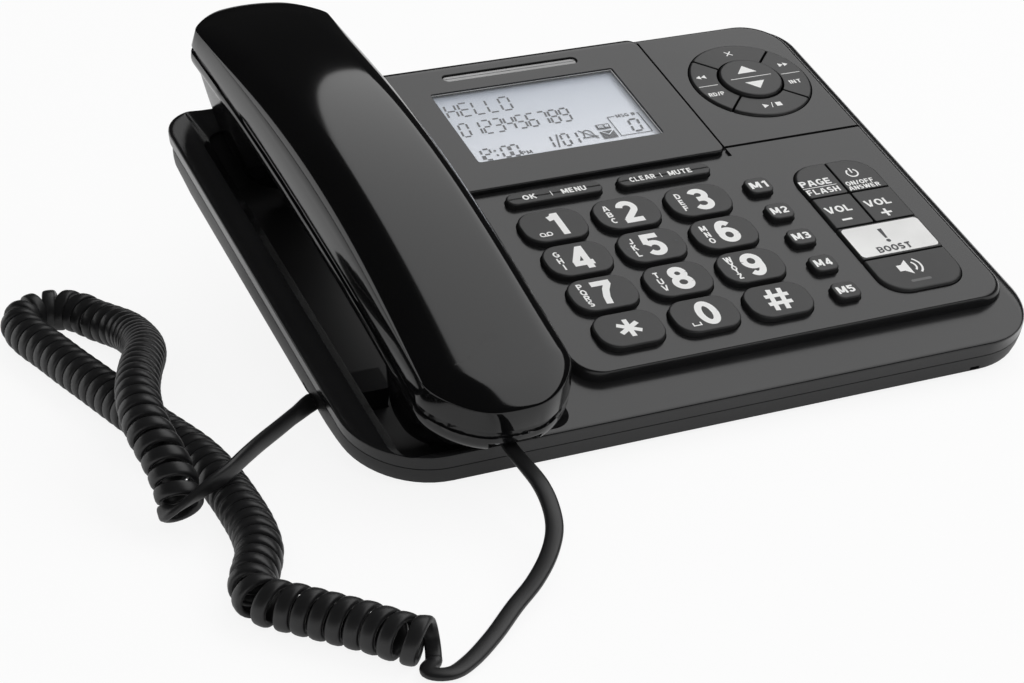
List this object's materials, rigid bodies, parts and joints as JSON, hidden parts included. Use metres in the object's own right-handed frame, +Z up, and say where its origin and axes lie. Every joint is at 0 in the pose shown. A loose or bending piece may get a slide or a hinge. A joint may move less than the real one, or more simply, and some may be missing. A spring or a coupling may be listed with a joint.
{
  "type": "corded telephone",
  "caption": "Corded desk telephone with large keys, a display, ringed navigation dial, handset in a cradle and a curly cord.",
  "frame": {"origin": "on the table, under the middle of the telephone without its cord", "axes": "+X to the right of someone using the telephone, +Y to its back, +Z up"},
  "size_m": [0.3047, 0.2882, 0.0941],
  "materials": {
    "shell_black": "black moulded ABS with a fine satin texture",
    "handset_gloss": "polished black moulded ABS",
    "panel_gloss": "polished black moulded plastic with a thin bright edge",
    "key_black": "charcoal matte key caps with white printed numerals",
    "key_white": "white satin key cap with dark print",
    "window_clear": "clear acrylic window over the display",
    "lamp_lens": "smoked translucent lens",
    "circuit_board": "green circuit board laminate",
    "keypad_silicone": "grey moulded silicone sheet",
    "steel_grey": "plain steel of the loudspeaker and the capsules",
    "spring_steel": "bright spring wire",
    "socket_black": "plain black moulded socket housing",
    "rubber_feet": "matt black rubber",
    "plug_clear": "clear polycarbonate modular plug",
    "cord_black": "black satin vinyl sheath, flat section"
  },
  "bodies": {
    "root": {"base_upper_shell": "shell_black", "base_lower_shell": "shell_black", "display_panel": "panel_gloss", "display_window": "window_clear", "display_module": "circuit_board", "message_lamp_lens": "lamp_lens", "main_board": "circuit_board", "keypad_sheet": "keypad_silicone", "loudspeaker": "steel_grey", "hook_spring": "spring_steel", "base_cord_socket": "socket_black", "line_socket": "socket_black", "power_socket": "socket_black", "desk_stand": "shell_black", "front_foot_left": "rubber_feet", "stand_foot_left": "rubber_feet", "front_foot_right": "rubber_feet", "stand_foot_right": "rubber_feet", "base_plug": "plug_clear", "base_lead": "cord_black", "handset_lead": "cord_black", "curly_cord": "cord_black"},
    "handset": {"handset_back_shell": "handset_gloss", "handset_face_shell": "shell_black", "handset_cord_socket": "socket_black", "receiver_capsule": "steel_grey", "microphone_capsule": "steel_grey", "handset_plug": "plug_clear"},
    "plunger": {"hook_plunger": "shell_black"},
    "key_1": {"key_1": "key_black"},
    "key_2": {"key_2": "key_black"},
    "key_3": {"key_3": "key_black"},
    "key_4": {"key_4": "key_black"},
    "key_5": {"key_5": "key_black"},
    "key_6": {"key_6": "key_black"},
    "key_7": {"key_7": "key_black"},
    "key_8": {"key_8": "key_black"},
    "key_9": {"key_9": "key_black"},
    "key_star": {"key_star": "key_black"},
    "key_0": {"key_0": "key_black"},
    "key_hash": {"key_hash": "key_black"},
    "memory_key_1": {"memory_key_1": "key_black"},
    "memory_key_2": {"memory_key_2": "key_black"},
    "memory_key_3": {"memory_key_3": "key_black"},
    "memory_key_4": {"memory_key_4": "key_black"},
    "memory_key_5": {"memory_key_5": "key_black"},
    "page_flash_key": {"page_flash_key": "key_black"},
    "answer_key": {"answer_key": "key_black"},
    "volume_down_key": {"volume_down_key": "key_black"},
    "volume_up_key": {"volume_up_key": "key_black"},
    "boost_key": {"boost_key": "key_white"},
    "speaker_key": {"speaker_key": "key_black"},
    "ring_key_forward": {"ring_key_forward": "key_black"},
    "ring_key_delete": {"ring_key_delete": "key_black"},
    "ring_key_back": {"ring_key_back": "key_black"},
    "ring_key_play": {"ring_key_play": "key_black"},
    "soft_key_left": {"soft_key_left": "key_black"},
    "soft_key_right": {"soft_key_right": "key_black"},
    "nav_rocker": {"nav_rocker": "key_black"}
  },
  "joints": [
    {"name": "handset_lift", "type": "slide", "parent": "root", "child": "handset", "axis": [0, 0, 1], "range_m": [0, 0.12]},
    {"name": "hook_switch", "type": "slide", "parent": "root", "child": "plunger", "axis": [0, -0.2924, 0.9563], "range_m": [0, 0.004], "stiffness_N_per_m": 30, "springref_m": 0.004, "deforming": ["hook_spring"]},
    {"name": "key_1_push", "type": "slide", "parent": "root", "child": "key_1", "axis": [0, 0.2924, -0.9563], "range_m": [0, 0.0012], "stiffness_N_per_m": 400},
    {"name": "key_2_push", "type": "slide", "parent": "root", "child": "key_2", "axis": [0, 0.2924, -0.9563], "range_m": [0, 0.0012], "stiffness_N_per_m": 400},
    {"name": "key_3_push", "type": "slide", "parent": "root", "child": "key_3", "axis": [0, 0.2924, -0.9563], "range_m": [0, 0.0012], "stiffness_N_per_m": 400},
    {"name": "key_4_push", "type": "slide", "parent": "root", "child": "key_4", "axis": [0, 0.2924, -0.9563], "range_m": [0, 0.0012], "stiffness_N_per_m": 400},
    {"name": "key_5_push", "type": "slide", "parent": "root", "child": "key_5", "axis": [0, 0.2924, -0.9563], "range_m": [0, 0.0012], "stiffness_N_per_m": 400},
    {"name": "key_6_push", "type": "slide", "parent": "root", "child": "key_6", "axis": [0, 0.2924, -0.9563], "range_m": [0, 0.0012], "stiffness_N_per_m": 400},
    {"name": "key_7_push", "type": "slide", "parent": "root", "child": "key_7", "axis": [0, 0.2924, -0.9563], "range_m": [0, 0.0012], "stiffness_N_per_m": 400},
    {"name": "key_8_push", "type": "slide", "parent": "root", "child": "key_8", "axis": [0, 0.2924, -0.9563], "range_m": [0, 0.0012], "stiffness_N_per_m": 400},
    {"name": "key_9_push", "type": "slide", "parent": "root", "child": "key_9", "axis": [0, 0.2924, -0.9563], "range_m": [0, 0.0012], "stiffness_N_per_m": 400},
    {"name": "key_star_push", "type": "slide", "parent": "root", "child": "key_star", "axis": [0, 0.2924, -0.9563], "range_m": [0, 0.0012], "stiffness_N_per_m": 400},
    {"name": "key_0_push", "type": "slide", "parent": "root", "child": "key_0", "axis": [0, 0.2924, -0.9563], "range_m": [0, 0.0012], "stiffness_N_per_m": 400},
    {"name": "key_hash_push", "type": "slide", "parent": "root", "child": "key_hash", "axis": [0, 0.2924, -0.9563], "range_m": [0, 0.0012], "stiffness_N_per_m": 400},
    {"name": "memory_key_1_push", "type": "slide", "parent": "root", "child": "memory_key_1", "axis": [0, 0.2924, -0.9563], "range_m": [0, 0.0012], "stiffness_N_per_m": 400},
    {"name": "memory_key_2_push", "type": "slide", "parent": "root", "child": "memory_key_2", "axis": [0, 0.2924, -0.9563], "range_m": [0, 0.0012], "stiffness_N_per_m": 400},
    {"name": "memory_key_3_push", "type": "slide", "parent": "root", "child": "memory_key_3", "axis": [0, 0.2924, -0.9563], "range_m": [0, 0.0012], "stiffness_N_per_m": 400},
    {"name": "memory_key_4_push", "type": "slide", "parent": "root", "child": "memory_key_4", "axis": [0, 0.2924, -0.9563], "range_m": [0, 0.0012], "stiffness_N_per_m": 400},
    {"name": "memory_key_5_push", "type": "slide", "parent": "root", "child": "memory_key_5", "axis": [0, 0.2924, -0.9563], "range_m": [0, 0.0012], "stiffness_N_per_m": 400},
    {"name": "page_flash_key_push", "type": "slide", "parent": "root", "child": "page_flash_key", "axis": [0, 0.2924, -0.9563], "range_m": [0, 0.0012], "stiffness_N_per_m": 400},
    {"name": "answer_key_push", "type": "slide", "parent": "root", "child": "answer_key", "axis": [0, 0.2924, -0.9563], "range_m": [0, 0.0012], "stiffness_N_per_m": 400},
    {"name": "volume_down_key_push", "type": "slide", "parent": "root", "child": "volume_down_key", "axis": [0, 0.2924, -0.9563], "range_m": [0, 0.0012], "stiffness_N_per_m": 400},
    {"name": "volume_up_key_push", "type": "slide", "parent": "root", "child": "volume_up_key", "axis": [0, 0.2924, -0.9563], "range_m": [0, 0.0012], "stiffness_N_per_m": 400},
    {"name": "boost_key_push", "type": "slide", "parent": "root", "child": "boost_key", "axis": [0, 0.2924, -0.9563], "range_m": [0, 0.0012], "stiffness_N_per_m": 400},
    {"name": "speaker_key_push", "type": "slide", "parent": "root", "child": "speaker_key", "axis": [0, 0.2924, -0.9563], "range_m": [0, 0.0012], "stiffness_N_per_m": 400},
    {"name": "ring_key_forward_push", "type": "slide", "parent": "root", "child": "ring_key_forward", "axis": [0, 0.2924, -0.9563], "range_m": [0, 0.001], "stiffness_N_per_m": 400},
    {"name": "ring_key_delete_push", "type": "slide", "parent": "root", "child": "ring_key_delete", "axis": [0, 0.2924, -0.9563], "range_m": [0, 0.001], "stiffness_N_per_m": 400},
    {"name": "ring_key_back_push", "type": "slide", "parent": "root", "child": "ring_key_back", "axis": [0, 0.2924, -0.9563], "range_m": [0, 0.001], "stiffness_N_per_m": 400},
    {"name": "ring_key_play_push", "type": "slide", "parent": "root", "child": "ring_key_play", "axis": [0, 0.2924, -0.9563], "range_m": [0, 0.001], "stiffness_N_per_m": 400},
    {"name": "soft_key_left_rock", "type": "hinge", "parent": "root", "child": "soft_key_left", "pos_m": [-0.01535, 0.01276, 0.04097], "axis": [0, 0.9563, 0.2924], "range_deg": [-2, 2], "stiffness_Nm_per_rad": 0.05},
    {"name": "soft_key_right_rock", "type": "hinge", "parent": "root", "child": "soft_key_right", "pos_m": [0.02485, 0.01276, 0.04097], "axis": [0, 0.9563, 0.2924], "range_deg": [-2, 2], "stiffness_Nm_per_rad": 0.05},
    {"name": "nav_rocker_rock", "type": "hinge", "parent": "root", "child": "nav_rocker", "pos_m": [0.08275, 0.0557, 0.05409], "axis": [1, 0, 0], "range_deg": [-3, 3], "stiffness_Nm_per_rad": 0.05}
  ],
  "couplings": [
    {"joint": "hook_switch", "follows": "handset_lift", "ratio": 0.0333}
  ]
}
